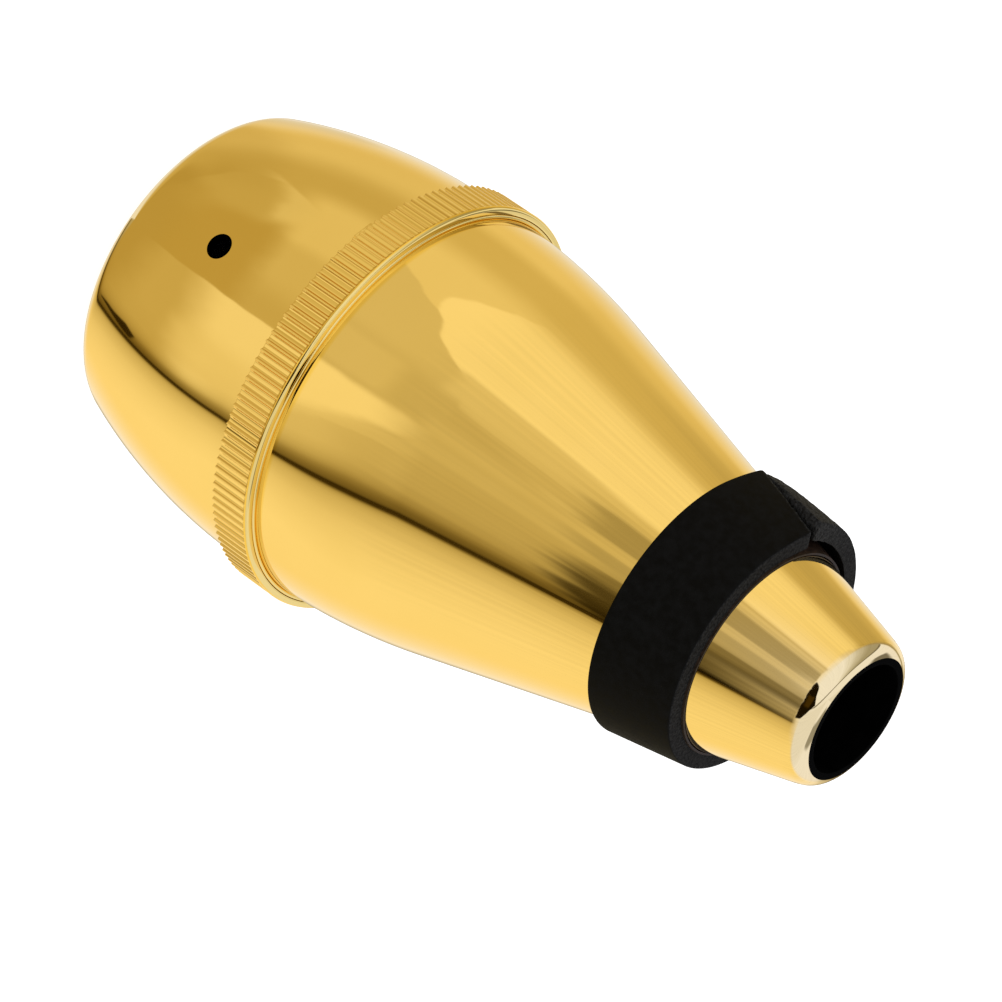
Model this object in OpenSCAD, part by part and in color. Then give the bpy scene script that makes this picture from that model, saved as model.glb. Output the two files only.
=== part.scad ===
// Practice mute for a trumpet or cornet, standing on its flat base with the nose up.
// Two moulded shells screw together at a knurled collar, a foam strip seats in the bell,
// and the chamber between them breathes through one small vent hole.

/* [Rear cup] */
// Height of the cup from its base to the rear edge of the collar
cup_h = 41.2; // [38:0.1:46]
// How far the collar stands out from the cup's wall
cup_step = 1.85; // [1.6:0.05:2.2]
// Length of straight wall behind the collar
cup_straight_h = 3; // [2.6:0.1:6]
// Radius of the long arc that draws the wall in towards the base
cup_bow_r = 100; // [80:1:140]
// Radius of the rounded corner at the base
cup_corner_r = 5; // [3.5:0.25:8]
// Wall and floor thickness of the cup
cup_wall = 2.2; // [2:0.1:2.6]

/* [Vent hole] */
// Diameter of the round vent hole
vent_d = 4.5; // [3:0.1:7]
// Height of the vent hole above the base
vent_z = 22.3; // [16:0.1:30]

/* [Knurled collar] */
// Height of the collar from its rear edge to its front rim
collar_h = 8.1; // [7.6:0.1:10]
// Radius of the collar over its plain ring
collar_r = 37.5; // [37.4:0.1:38.6]
// Depth of the flutes between the crests
flute_depth = 0.35; // [0.2:0.05:0.5]
// Number of flutes round the collar
flute_count = 140; // [90:2:180]
// Share of each flute's pitch that its crest takes up
crest_share = 0.2; // [0.1:0.05:0.5]
// Width of the plain bevel at the front of the collar
collar_bevel = 0.75; // [0.4:0.05:0.8]
// Plain ring between the flutes and the bevel
collar_ring_h = 0.2; // [0.1:0.05:0.5]
// Width of the raised index step behind the collar
index_w = 3.9; // [2:0.1:8]
// How far the index step stands behind the collar
index_h = 0.5; // [0.3:0.05:1]
// Direction of the index step, anticlockwise from +X seen from above
index_angle = -114.5; // [-180:0.5:180]

/* [Screw joint] */
// Rise of the screw in one turn
screw_pitch = 3; // [2.8:0.1:3.4]
// Height of the thread's tooth
tooth_h = 0.8; // [0.6:0.05:0.9]
// Width of a tooth at its foot
tooth_foot_w = 1.75; // [1.4:0.05:1.8]
// Width of a tooth at its crest
tooth_crest_w = 1.05; // [0.8:0.05:1.1]
// Radial clearance between the spigot and the collar
screw_gap = 0.3; // [0.2:0.05:0.35]
// Length of the spigot below the flange
spigot_l = 9; // [8.8:0.1:11]
// Wall thickness of the spigot under its thread
spigot_wall = 1.8; // [1.2:0.1:2.4]
// Depth of the collar's counterbore from its front rim to the ledge
seat_depth = 1.6; // [1.4:0.1:2.2]
// Rim of the collar between the counterbore and the bevel
seat_rim = 0.25; // [0.2:0.05:0.4]
// Gap round the flange and the seal inside the counterbore
seat_gap = 0.3; // [0.2:0.05:0.4]
// Thickness of the flat seal ring
seal_t = 0.8; // [0.5:0.1:1.2]

/* [Front shell] */
// Height of the whole mute, to the plane that the rounded nose touches
mute_h = 145.3; // [138:0.1:156]
// How far the collar stands out from the front shell's wall
front_step = 2; // [1.8:0.05:2.3]
// Height of the flange below its round bead
flange_h = 0.9; // [0.7:0.1:1.2]
// Lean of the shell at the joint, from the axis
lean_start = 2.6; // [1:0.1:5]
// Radius at which the straight cone would reach the top of the nose
cone_end_r = 12.75; // [12.3:0.05:13.4]
// Radius of the arc between the joint and the straight cone
front_bow_r = 115; // [100:1:130]
// Wall thickness of the front shell
front_wall = 2.2; // [1.8:0.1:2.6]
// Radius of the rounded nose
nose_round_r = 3.6; // [2.4:0.1:4]

/* [Nose tube] */
// Outside diameter of the tube and of the opening that holds it
tube_d = 21.2; // [20:0.1:22]
// Wall thickness of the tube
tube_wall = 0.8; // [0.6:0.1:1.6]
// Length of the tube
tube_l = 60; // [30:1:75]
// How far the tube's end lies below the nose
tube_inset = 0.8; // [0.6:0.1:2]
// Length of the inner collar that grips the tube
grip_l = 10; // [8:0.5:14]

/* [Foam band] */
// Height of the band's rear edge above the base
foam_z = 110.3; // [104:0.1:116]
// Width of the band along the axis
foam_w = 15.1; // [10:0.1:20]
// Thickness of the band and its tape at the rear edge
foam_rear_t = 1.8; // [1.4:0.1:3.5]
// Thickness of the band and its tape at the front edge
foam_front_t = 3.2; // [2:0.1:4]
// Thickness of the adhesive tape under the band
tape_t = 0.4; // [0.2:0.05:0.6]
// Direction of the band's seam, anticlockwise from +X seen from above
seam_angle = -156; // [-180:0.5:180]
// Lean of the seam from the axis, anticlockwise towards the band's front edge
seam_skew = 16; // [0:1:25]
// Width of the open seam
seam_gap = 0.5; // [0.3:0.1:1.5]

/* [Damping pad] */
// Diameter of the damping pad on the cup's floor
pad_d = 42; // [30:1:45]
// Thickness of the damping pad
pad_t = 8; // [4:0.5:12]
// Thickness of the adhesive disc under the pad
pad_tape_t = 0.3; // [0.2:0.05:0.6]

/* [Hidden] */
$fn = 96;
gold = [0.86, 0.66, 0.26];
arc_steps = 24;
thread_steps_per_turn = 48;
thread_sink = 0.3;
thread_start = 40;
core_sink = 0.15;
spigot_foot_gap = 0.6;
edge_round = 0.4;
crest_drop = 0.04;
flute_floor_share = 0.36;
flute_floor_edge = 0.85;
index_sink = 1;
wrap_gap = 0.1;
cut_over = 1;

// Heights, from the base up
bow_z = cup_h - cup_straight_h;
collar_top_z = cup_h + collar_h;
flute_top_z = collar_top_z - collar_bevel - collar_ring_h;
ledge_z = collar_top_z - seat_depth;
flange_z = ledge_z + seal_t;
bead_z = flange_z + flange_h;
spigot_z = flange_z - spigot_l;
bore_z = spigot_z - spigot_foot_gap;

// Walls behind and in front of the collar
cup_r = collar_r - cup_step;
front_r = collar_r - front_step;

// Radii at the screw joint, from the cup's wall outwards
cup_in_r = cup_r - cup_wall;
spigot_r = cup_in_r - screw_gap;
spigot_in_r = spigot_r - spigot_wall;
thread_r = spigot_r + tooth_h;
bore_r = thread_r + screw_gap;
core_r = collar_r - crest_drop - flute_depth - core_sink;
seat_r = collar_r - collar_bevel - seat_rim;
flange_r = seat_r - seat_gap;
bead_r = (flange_r - front_r) / 2;

// Centre line of the threads: the cup's tooth lies midway between the turns of the spigot's
spigot_thread_z = spigot_z + tooth_foot_w / 2 + seat_gap;
spigot_turns = (flange_z - tooth_foot_w / 2 - seat_gap - spigot_thread_z) / screw_pitch;
cup_thread_z = spigot_thread_z + screw_pitch / 2;
cup_turns = (ledge_z - tooth_foot_w / 2 - seat_gap - cup_thread_z) / screw_pitch;

// Centre of the corner arc at the base, tangent to the floor and to the long arc
corner_lean = asin((bow_z - cup_corner_r) / (cup_bow_r - cup_corner_r));
corner_x = cup_r - cup_bow_r + (cup_bow_r - cup_corner_r) * cos(corner_lean);

// Centre of the front shell's arc, the lean of the straight cone that leaves it for the
// nose, and where it does so
bow_x = front_r - front_bow_r * cos(lean_start);
front_bow_z = bead_z - front_bow_r * sin(lean_start);
cone_run = [cone_end_r - bow_x, mute_h - front_bow_z];
lean_cone = atan2(cone_run[1], cone_run[0]) - acos(front_bow_r / norm(cone_run));
cone_z = front_bow_z + front_bow_r * sin(lean_cone);
cone_x = bow_x + front_bow_r * cos(lean_cone);

// Centre of the nose's rounding, and the lean at which the opening cuts it
tube_r = tube_d / 2;
nose_z = mute_h - nose_round_r;
nose_x = cone_radius(nose_z) - nose_round_r / cos(lean_cone);
nose_end = tube_r > nose_x ? acos((tube_r - nose_x) / nose_round_r) : 90;
nose_top_z = nose_z + nose_round_r * sin(nose_end);
grip_z = nose_top_z - grip_l;
tube_top_z = nose_top_z - tube_inset;

function cone_radius(z) = cone_x - (z - cone_z) * tan(lean_cone);
function cone_inner_radius(z) = cone_radius(z) - front_wall / cos(lean_cone);

// Points of an arc about (x, z), from one angle to another
function arc(x, z, r, from, to) =
    [for (i = [0:arc_steps]) let (a = from + (to - from) * i / arc_steps) [x + r * cos(a), z + r * sin(a)]];

// Cup wall at a depth below its outside, from the floor up to the straight wall
function cup_curve(depth) = concat(
    arc(corner_x, cup_corner_r, cup_corner_r - depth, -90, -corner_lean),
    arc(cup_r - cup_bow_r, bow_z, cup_bow_r - depth, -corner_lean, 0));

// Ring of points round the flutes, in shares of the pitch and of the depth: two on each
// crest, two at the edges of the hollow's floor and one at its middle
function flute_ring() = [
    for (i = [0:flute_count - 1], p = [[-crest_share / 2, 0], [crest_share / 2, 0],
                                       [(1 - flute_floor_share) / 2, flute_floor_edge], [1 / 2, 1],
                                       [(1 + flute_floor_share) / 2, flute_floor_edge]])
        let (a = (i + p[0]) * 360 / flute_count, r = collar_r - crest_drop - p[1] * flute_depth)
            [r * cos(a), r * sin(a)]];

// Tooth section from its foot, sunk into the wall, to its crest
function tooth(foot_r, crest_r) =
    let (out = crest_r > foot_r ? 1 : -1,
         sunk_w = tooth_foot_w + (tooth_foot_w - tooth_crest_w) * thread_sink / tooth_h)
        [[foot_r - out * thread_sink, -sunk_w / 2], [crest_r, -tooth_crest_w / 2],
         [crest_r, tooth_crest_w / 2], [foot_r - out * thread_sink, sunk_w / 2]];

// Right-hand thread swept round the axis from a start height, and turned to its start
module thread(foot_r, crest_r, start_z, turns) {
    steps = ceil(turns * thread_steps_per_turn);
    section = crest_r < foot_r ? tooth(foot_r, crest_r)
                               : [for (i = [3:-1:0]) tooth(foot_r, crest_r)[i]];
    n = len(section);
    rings = [for (s = [0:steps]) let (a = 360 * turns * s / steps)
        for (p = section) [p[0] * cos(a + thread_start), p[0] * sin(a + thread_start),
                           start_z + p[1] + screw_pitch * a / 360]];
    sides = [for (s = [0:steps - 1], k = [0:n - 1]) let (a = s * n + k, b = s * n + (k + 1) % n)
        each [[a, b + n, b], [a, a + n, b + n]]];
    first = [[0, 1, 2], [0, 2, 3]];
    last = [for (f = first) [for (i = [2:-1:0]) f[i] + steps * n]];
    polyhedron(points = rings, faces = concat(first, last, sides));
}

module rear_cup() {
    color(gold)
    difference() {
        union() {
            rotate_extrude()
                polygon(concat([[0, 0]], cup_curve(0),
                    [[cup_r, cup_h], [core_r, cup_h], [core_r, flute_top_z], [collar_r, flute_top_z],
                     [collar_r, collar_top_z - collar_bevel], [collar_r - collar_bevel, collar_top_z],
                     [seat_r, collar_top_z], [seat_r, ledge_z], [bore_r, ledge_z],
                     [bore_r, bore_z], [cup_in_r, bore_z]],
                    [for (i = [len(cup_curve(cup_wall)) - 1:-1:0]) cup_curve(cup_wall)[i]],
                    [[0, cup_wall]]));
            translate([0, 0, cup_h])
                linear_extrude(flute_top_z - cup_h)
                    difference() {
                        polygon(flute_ring());
                        circle(r = core_r - core_sink);
                    }
            rotate([0, 0, index_angle])
                translate([cup_r - cup_wall / 2, -index_w / 2, cup_h - index_h])
                    cube([core_r - cup_r + cup_wall / 2, index_w, index_h + index_sink]);
        }
        translate([0, 0, vent_z])
            rotate([90, 0, 0])
                cylinder(d = vent_d, h = collar_r + cut_over);
    }
    color(gold)
        thread(bore_r, cup_in_r, cup_thread_z, cup_turns);
}

module front_shell() {
    inner_bow = arc(bow_x, front_bow_z, front_bow_r - front_wall, lean_start, lean_cone);
    color(gold)
        rotate_extrude()
            polygon(concat(
                [[spigot_in_r, spigot_z], [spigot_r, spigot_z], [spigot_r, flange_z], [flange_r, flange_z]],
                arc(front_r + bead_r, bead_z, bead_r, 0, 180),
                arc(bow_x, front_bow_z, front_bow_r, lean_start, lean_cone),
                arc(nose_x, nose_z, nose_round_r, lean_cone, nose_end),
                [[tube_r, nose_top_z], [tube_r, grip_z], [cone_inner_radius(grip_z), grip_z]],
                [for (i = [arc_steps:-1:0]) inner_bow[i]],
                [[spigot_in_r, inner_bow[0][1] - (inner_bow[0][0] - spigot_in_r)]]));
    color(gold)
        thread(spigot_r, thread_r, spigot_thread_z, spigot_turns);
}

module seal_ring() {
    color([0.06, 0.06, 0.06])
        translate([0, 0, ledge_z])
            difference() {
                cylinder(r = flange_r, h = seal_t);
                translate([0, 0, -cut_over])
                    cylinder(r = bore_r, h = seal_t + 2 * cut_over);
            }
}

module nose_tube() {
    color([0.08, 0.08, 0.08])
        translate([0, 0, tube_top_z - tube_l])
            difference() {
                cylinder(r = tube_r, h = tube_l);
                translate([0, 0, -cut_over])
                    cylinder(r = tube_r - tube_wall, h = tube_l + 2 * cut_over);
            }
}

// Section on the cone between two depths over its surface, at the rear and front edges
module cone_wrap(in_t, rear_t, front_t, rounding) {
    top_z = foam_z + foam_w;
    rotate_extrude()
        polygon([
            [cone_radius(foam_z) + in_t, foam_z],
            [cone_radius(foam_z) + rear_t - rounding, foam_z],
            [cone_radius(foam_z) + rear_t, foam_z + rounding],
            [cone_radius(top_z) + front_t, top_z - rounding],
            [cone_radius(top_z) + front_t - rounding, top_z],
            [cone_radius(top_z) + in_t, top_z]]);
}

module foam_tape() {
    color([0.16, 0.11, 0.08])
        cone_wrap(wrap_gap, tape_t, tape_t, 0);
}

module foam_band() {
    mid_z = foam_z + foam_w / 2;
    color([0.05, 0.05, 0.05])
        difference() {
            cone_wrap(tape_t, foam_rear_t, foam_front_t, edge_round);
            translate([0, 0, mid_z])
                rotate([0, 0, seam_angle])
                    rotate([-seam_skew, 0, 0])
                        translate([0, -seam_gap / 2, -foam_w])
                            cube([collar_r, seam_gap, 2 * foam_w]);
        }
}

module damping_pad() {
    color([0.2, 0.2, 0.21])
        translate([0, 0, cup_wall + pad_tape_t])
            cylinder(d = pad_d, h = pad_t);
}

module pad_tape() {
    color([0.85, 0.83, 0.78])
        translate([0, 0, cup_wall])
            cylinder(d = pad_d, h = pad_tape_t);
}

rear_cup();
front_shell();
seal_ring();
nose_tube();
foam_tape();
foam_band();
damping_pad();
pad_tape();
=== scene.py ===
from math import acos, asin, atan2, cos, hypot, pi, radians, sin, tan

import bpy
from mathutils import Matrix, Vector, noise


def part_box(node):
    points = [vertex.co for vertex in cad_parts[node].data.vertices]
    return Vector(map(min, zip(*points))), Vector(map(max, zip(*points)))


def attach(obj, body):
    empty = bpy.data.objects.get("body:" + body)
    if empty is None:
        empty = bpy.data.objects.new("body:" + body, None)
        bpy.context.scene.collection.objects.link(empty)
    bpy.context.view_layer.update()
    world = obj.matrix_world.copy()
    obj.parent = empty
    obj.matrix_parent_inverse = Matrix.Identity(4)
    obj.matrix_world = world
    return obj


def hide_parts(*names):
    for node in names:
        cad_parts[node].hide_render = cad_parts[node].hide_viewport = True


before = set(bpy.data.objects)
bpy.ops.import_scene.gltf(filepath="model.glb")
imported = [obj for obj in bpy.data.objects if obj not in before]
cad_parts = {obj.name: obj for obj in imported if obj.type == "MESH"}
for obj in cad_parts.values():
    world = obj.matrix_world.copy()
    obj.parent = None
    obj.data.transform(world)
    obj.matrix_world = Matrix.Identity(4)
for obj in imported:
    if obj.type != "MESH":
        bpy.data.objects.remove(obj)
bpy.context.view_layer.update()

mm = 0.001

# The camera looks down at the standing mute from the front and is rolled on its axis, so
# that the nose points down to the right. The lens is long, with little perspective.
camera_azimuth = radians(-83.27)
camera_elevation = radians(28.29)
camera_roll = radians(124.83)
camera_distance = 962.1 * mm
camera_target = Vector((3.63, 0.43, 72.08)) * mm
sensor_width = 36
focal_length = 6000
picture_width = 1002
sight_limit = 20

toward_camera = Vector((cos(camera_azimuth) * cos(camera_elevation),
                        sin(camera_azimuth) * cos(camera_elevation),
                        sin(camera_elevation)))
upright = (-toward_camera).to_track_quat("-Z", "Y").to_matrix()
bpy.ops.object.camera_add(location=camera_target + toward_camera * camera_distance,
                          rotation=(upright @ Matrix.Rotation(camera_roll, 3, "Z")).to_euler())
camera = bpy.context.object
camera.data.sensor_width = sensor_width
camera.data.lens = sensor_width * focal_length / picture_width
camera.data.clip_end = sight_limit
bpy.context.scene.camera = camera

# The floor is a plain white sheet. It shows nearly white by itself, and takes the rest
# of its light, and so the mute's soft shadow, from the lamp.
floor_size = 12
floor_glow = 0.9
floor_paint = (0.55, 0.55, 0.55, 1)

bpy.ops.mesh.primitive_plane_add(size=floor_size)
floor = bpy.context.object
floor.name = "floor"
floor.visible_glossy = False
floor_finish = bpy.data.materials.new("white_sheet")
floor_finish.use_nodes = True
nodes, links = floor_finish.node_tree.nodes, floor_finish.node_tree.links
nodes.clear()
output = nodes.new("ShaderNodeOutputMaterial")
paint = nodes.new("ShaderNodeBsdfDiffuse")
paint.inputs["Color"].default_value = floor_paint
glow = nodes.new("ShaderNodeEmission")
ray = nodes.new("ShaderNodeLightPath")
in_picture = nodes.new("ShaderNodeMath")
in_picture.operation = "MAXIMUM"
in_picture.use_clamp = True
in_all = nodes.new("ShaderNodeMath")
in_all.operation = "MAXIMUM"
strength = nodes.new("ShaderNodeMath")
strength.operation = "MULTIPLY"
strength.inputs[1].default_value = floor_glow
total = nodes.new("ShaderNodeAddShader")
links.new(ray.outputs["Is Camera Ray"], in_picture.inputs[0])
links.new(ray.outputs["Is Glossy Ray"], in_picture.inputs[1])
links.new(in_picture.outputs[0], in_all.inputs[0])
links.new(ray.outputs["Is Transmission Ray"], in_all.inputs[1])
links.new(in_all.outputs[0], strength.inputs[0])
links.new(strength.outputs[0], glow.inputs["Strength"])
links.new(paint.outputs[0], total.inputs[0])
links.new(glow.outputs[0], total.inputs[1])
links.new(total.outputs[0], output.inputs["Surface"])
floor.data.materials.append(floor_finish)

# The studio is a white tent with one large soft box overhead. Its seams, folds and grey
# panels show only in polished metal, so they are drawn by direction: the bearing is counted
# round from the front of the mute, and both angles are in degrees.
room_light = 0.55
lamp_power = 6
lamp_size = 1.2
lamp_place = (-0.3, -0.5, 1.4)
lamp_aim = Vector((0, 0, 0.07))
front_bearing = radians(83.27)
crinkle_scale = 5
crinkle_detail = 2
crinkle_reach = 2.2
pleat_scale = 0.35
pleat_detail = 3
pleat_shade = 0.93
cloth_tint = (1, 0.8, 0.345, 1)
green_fade = 0.12
blue_fade = 0.6

bpy.ops.object.light_add(type="AREA", location=lamp_place)
lamp = bpy.context.object
lamp.rotation_euler = (lamp_aim - lamp.location).to_track_quat("-Z", "Y").to_euler()
lamp.data.size = lamp_size
lamp.data.energy = lamp_power
lamp.visible_glossy = False

room = bpy.data.worlds.new("studio")
bpy.context.scene.world = room
room.use_nodes = True
nodes, links = room.node_tree.nodes, room.node_tree.links
nodes.clear()


def feed(socket, value):
    """Gives a socket of the room a number, a colour or another node's output."""
    if isinstance(value, bpy.types.NodeSocket):
        links.new(value, socket)
    else:
        socket.default_value = value


def math(operation, *values):
    """One maths node."""
    made = nodes.new("ShaderNodeMath")
    made.operation = operation
    for socket, value in zip(made.inputs, values):
        feed(socket, value)
    return made.outputs[0]


def ramp(value, low, high, out_low=0, out_high=1, shape="SMOOTHSTEP"):
    """Carries a value from one range to another."""
    made = nodes.new("ShaderNodeMapRange")
    made.interpolation_type = shape
    links.new(value, made.inputs["Value"])
    for name, number in (("From Min", low), ("From Max", high),
                         ("To Min", out_low), ("To Max", out_high)):
        made.inputs[name].default_value = number
    return made.outputs["Result"]


def mix(share, first, second, blend="MIX"):
    """Mixes two colours."""
    made = nodes.new("ShaderNodeMix")
    made.data_type = "RGBA"
    made.blend_type = blend
    for name, value in (("Factor", share), ("A", first), ("B", second)):
        feed(made.inputs[name], value)
    return made.outputs["Result"]


def warm(tone, warmth=1):
    """White paper goes warmer as it falls into shade."""
    return (tone, tone ** (1 + green_fade * warmth), tone ** (1 + blue_fade * warmth), 1)


place = nodes.new("ShaderNodeTexCoord")
turned = nodes.new("ShaderNodeVectorRotate")
turned.rotation_type = "Z_AXIS"
turned.inputs["Angle"].default_value = front_bearing
links.new(place.outputs["Generated"], turned.inputs["Vector"])
split = nodes.new("ShaderNodeSeparateXYZ")
links.new(turned.outputs[0], split.inputs[0])
bearing = math("DEGREES", math("ARCTAN2", split.outputs["Y"], split.outputs["X"]))
height = math("DEGREES", math("ARCSINE", split.outputs["Z"]))
crinkle = nodes.new("ShaderNodeTexNoise")
crinkle.inputs["Scale"].default_value = crinkle_scale
crinkle.inputs["Detail"].default_value = crinkle_detail
links.new(place.outputs["Generated"], crinkle.inputs["Vector"])
wander = nodes.new("ShaderNodeSeparateColor")
links.new(crinkle.outputs["Color"], wander.inputs[0])
aim = nodes.new("ShaderNodeCombineXYZ")
for angle, channel, axis in ((bearing, "Red", "X"), (height, "Green", "Y")):
    sway = ramp(wander.outputs[channel], 0, 1, -crinkle_reach, crinkle_reach, "LINEAR")
    links.new(math("ADD", angle, sway), aim.inputs[axis])
aim.inputs["Z"].default_value = 1


def side(start, end, softness):
    """One on the left of a line through two aims, nought on its right, with a soft change."""
    along = Vector(end) - Vector(start)
    across = Vector((-along.y, along.x)).normalized()
    made = nodes.new("ShaderNodeVectorMath")
    made.operation = "DOT_PRODUCT"
    links.new(aim.outputs[0], made.inputs[0])
    made.inputs[1].default_value = (*across, -across.dot(Vector(start)))
    return ramp(made.outputs["Value"], -softness / 2, softness / 2)


def right_of(angle, softness):
    return side((angle, 1), (angle, 0), softness)


def left_of(angle, softness):
    return side((angle, 0), (angle, 1), softness)


def over(angle, softness):
    return side((0, angle), (1, angle), softness)


def under(angle, softness):
    return side((1, angle), (0, angle), softness)


def panel(view, tone, *sides, share=1, warmth=1):
    """Lays one panel of a tone over what the metal sees, within its sides."""
    inside = share
    for edge in sides:
        inside = math("MULTIPLY", edge, inside)
    return mix(inside, view, warm(tone, warmth))


# The left wall of the tent steps down towards its middle, which is grey.
seen = nodes.new("ShaderNodeRGB").outputs[0]
seen.default_value = (1, 1, 1, 1)
seen = panel(seen, 0.86, right_of(-150, 20), warmth=1.5)
seen = panel(seen, 0.76, right_of(-135, 14), warmth=1.8)
seen = panel(seen, 0.67, right_of(-118, 16), warmth=1.8)
seen = panel(seen, 0.48, right_of(-150, 20), over(2.8, 2), share=0.8, warmth=1.2)
seen = panel(seen, 0.50, right_of(-122, 16), side((-105, -7), (-85, -2), 10), share=0.6)
seen = panel(seen, 0.83, right_of(-88, 20), under(-5, 8), warmth=1.6)
seen = panel(seen, 0.70, side((-35, 0), (-62, -25), 1))
seen = panel(seen, 0.62, right_of(-20, 14))
seen = panel(seen, 0.84, left_of(-118, 16), under(-17, 8), share=0.8, warmth=1.6)
seen = panel(seen, 0.52, right_of(-134, 10), left_of(-100, 14),
             side((-123, -11.5), (-104, -7.5), 3), share=0.6)
seen = panel(seen, 0.70, right_of(-18, 6), left_of(2, 6), under(-11, 5), over(-30, 4))

# A bright panel hangs on the left, cut to a point below, with streaks of grey beside it.
seen = panel(seen, 0.98, right_of(-82, 20), side((-88, -7.2), (-63, -15.4), 1),
             side((-63, -15.8), (-52, -15.6), 0.8), side((-52, -15.7), (-38.5, -10), 0.8),
             side((-38.5, -10), (-27, -1), 1.2), left_of(-31, 4))
seen = panel(seen, 0.73, right_of(-30, 3), side((-27, -1), (-12, 1.2), 1.2), left_of(-4, 6))
seen = panel(seen, 0.66, right_of(-27, 1.5), left_of(-23.5, 1.5), over(0, 2), share=0.6)
seen = panel(seen, 0.78, right_of(-33, 3), left_of(-19, 6), over(-4, 4), under(2.6, 1.5), share=0.8)
seen = panel(seen, 0.56, right_of(-15, 1.5), left_of(-7, 3), over(0.5, 2), share=0.5)
seen = panel(seen, 0.68, right_of(-4, 2), left_of(4, 2), over(-3, 5), share=0.7)

# The right of the middle darkens upwards. Two narrow bright panels stand in it.
seen = panel(seen, 0.66, right_of(7, 8), over(-8, 24))
seen = panel(seen, 0.58, right_of(14, 10), over(-1.5, 7))
seen = panel(seen, 0.74, right_of(8, 6), under(-14, 16))
seen = panel(seen, 0.96, right_of(4.5, 5), side((16, -11), (9.3, 0.6), 3), under(-8, 20))
seen = panel(seen, 0.96, right_of(4.5, 5), side((31, -25), (15, -9), 8), under(-8, 20))
seen = panel(seen, 0.80, side((24.7, -11.3), (18.8, 0.3), 1), side((9.3, 0.6), (31, -25), 1),
             under(-6, 20), share=0.5)

# Below the mute's collar the tent shows its floor: grey folds on the left and in front,
# and a bright panel on the right with a hard left edge.
seen = panel(seen, 0.88, under(-28, 2), warmth=1.2)
seen = panel(seen, 0.76, right_of(-140, 30), under(-28, 2), warmth=1.5)
seen = panel(seen, 0.59, right_of(-102, 26), under(-28, 2), warmth=1.8)
seen = panel(seen, 0.52, right_of(-84, 20), under(-54, 12), warmth=2)
seen = panel(seen, 0.73, side((-56.4, -33.9), (-75.2, -44.4), 1.5),
             side((-38, -48), (-56.4, -33.9), 6), over(-47, 8), under(-28, 2), warmth=1.3)
seen = panel(seen, 0.77, right_of(-75, 16), left_of(-34, 20), over(-40, 8), under(-28, 2),
             warmth=1.6)
seen = panel(seen, 0.67, right_of(-38, 10), left_of(-10, 20), over(-40, 8), under(-28, 2),
             warmth=1.6)
seen = panel(seen, 0.52, right_of(-46, 14), left_of(6, 1.5), under(-40, 8), warmth=2.2)
seen = panel(seen, 0.58, side((-75, -44), (-77, -54), 2.5), side((-77, -54), (-64.6, -62.7), 1.5),
             side((-64.6, -62.7), (-41, -70), 1.5), left_of(-44, 16), under(-45, 5), warmth=1.8)
seen = panel(seen, 0.54, right_of(-58, 16), left_of(-34, 20), under(-58, 8), warmth=2)
seen = panel(seen, 0.60, right_of(6, 1.5), under(-28, 2), warmth=1.8)
seen = panel(seen, 0.92, right_of(6, 1.2), under(-28, 2), side((6, -47), (60, -44), 14))
seen = panel(seen, 0.50, under(-64, 12), right_of(-70, 30), warmth=2)
seen = panel(seen, 0.80, right_of(30, 16), left_of(54, 10), under(-28, 2), over(-48, 10),
             share=0.6, warmth=1.8)
seen = panel(seen, 0.75, right_of(-164, 10), left_of(-146, 14), under(-35.5, 3), share=0.8,
             warmth=1.5)
seen = panel(seen, 0.50, right_of(-150, 30), left_of(-66, 20), under(-47, 6), share=0.35,
             warmth=1.8)
seen = panel(seen, 0.60, right_of(-150, 20), left_of(-70, 30), under(-60, 8), share=0.7, warmth=1.8)
seen = panel(seen, 0.48, right_of(-80, 20), left_of(-56, 16), under(-62, 6), share=0.8, warmth=2)

# The opening that the picture was taken through is dark, with a dark stand beside it.
seen = panel(seen, 0.42, right_of(-22, 4), left_of(-4, 3), over(3.2, 0.8), warmth=0.6)
seen = panel(seen, 0.49, right_of(4, 3), over(3.7, 1.2), warmth=0.6)
seen = panel(seen, 0.24, right_of(17, 3), over(3.7, 1.2), warmth=0.6)
seen = panel(seen, 0.08, right_of(26, 8), side((26, 3.7), (46, 1.8), 1.2), warmth=0.6)

# The tent's two walls meet in a dark gap. It runs round the mute in one plane, and the
# walls shade towards it, the left one within a few degrees and the right one slowly.
gap_plane = Vector((0.5206, 0.7886, 0.3272)).normalized()
left_shade = [(0, 0.04), (1, 0.24), (3, 0.33), (5, 0.46), (7, 0.64), (9, 0.77), (12, 0.88),
              (16, 0.96), (30, 1)]
right_shade = [(0, 0.04), (1.3, 0.05), (2, 0.25), (2.5, 0.42), (3.4, 0.54), (4.4, 0.61), (6, 0.67),
               (9, 0.74), (13, 0.83), (18, 0.89), (25, 0.95), (35, 1)]
gap_shift = -0.65
left_spread = (0.5, 1.1)
left_spread_foot = -0.1
right_spread = (0.64, 1.18)


def shade(distance, stops):
    """A wall's shade by its distance from the gap, in degrees."""
    reach = stops[-1][0]
    made = nodes.new("ShaderNodeValToRGB")
    links.new(ramp(distance, 0, reach, shape="LINEAR"), made.inputs["Fac"])
    while len(made.color_ramp.elements) < len(stops):
        made.color_ramp.elements.new(0.5)
    for element, (angle, tone) in zip(made.color_ramp.elements, stops):
        element.position = angle / reach
        element.color = warm(tone)
    return made.outputs["Color"]


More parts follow.
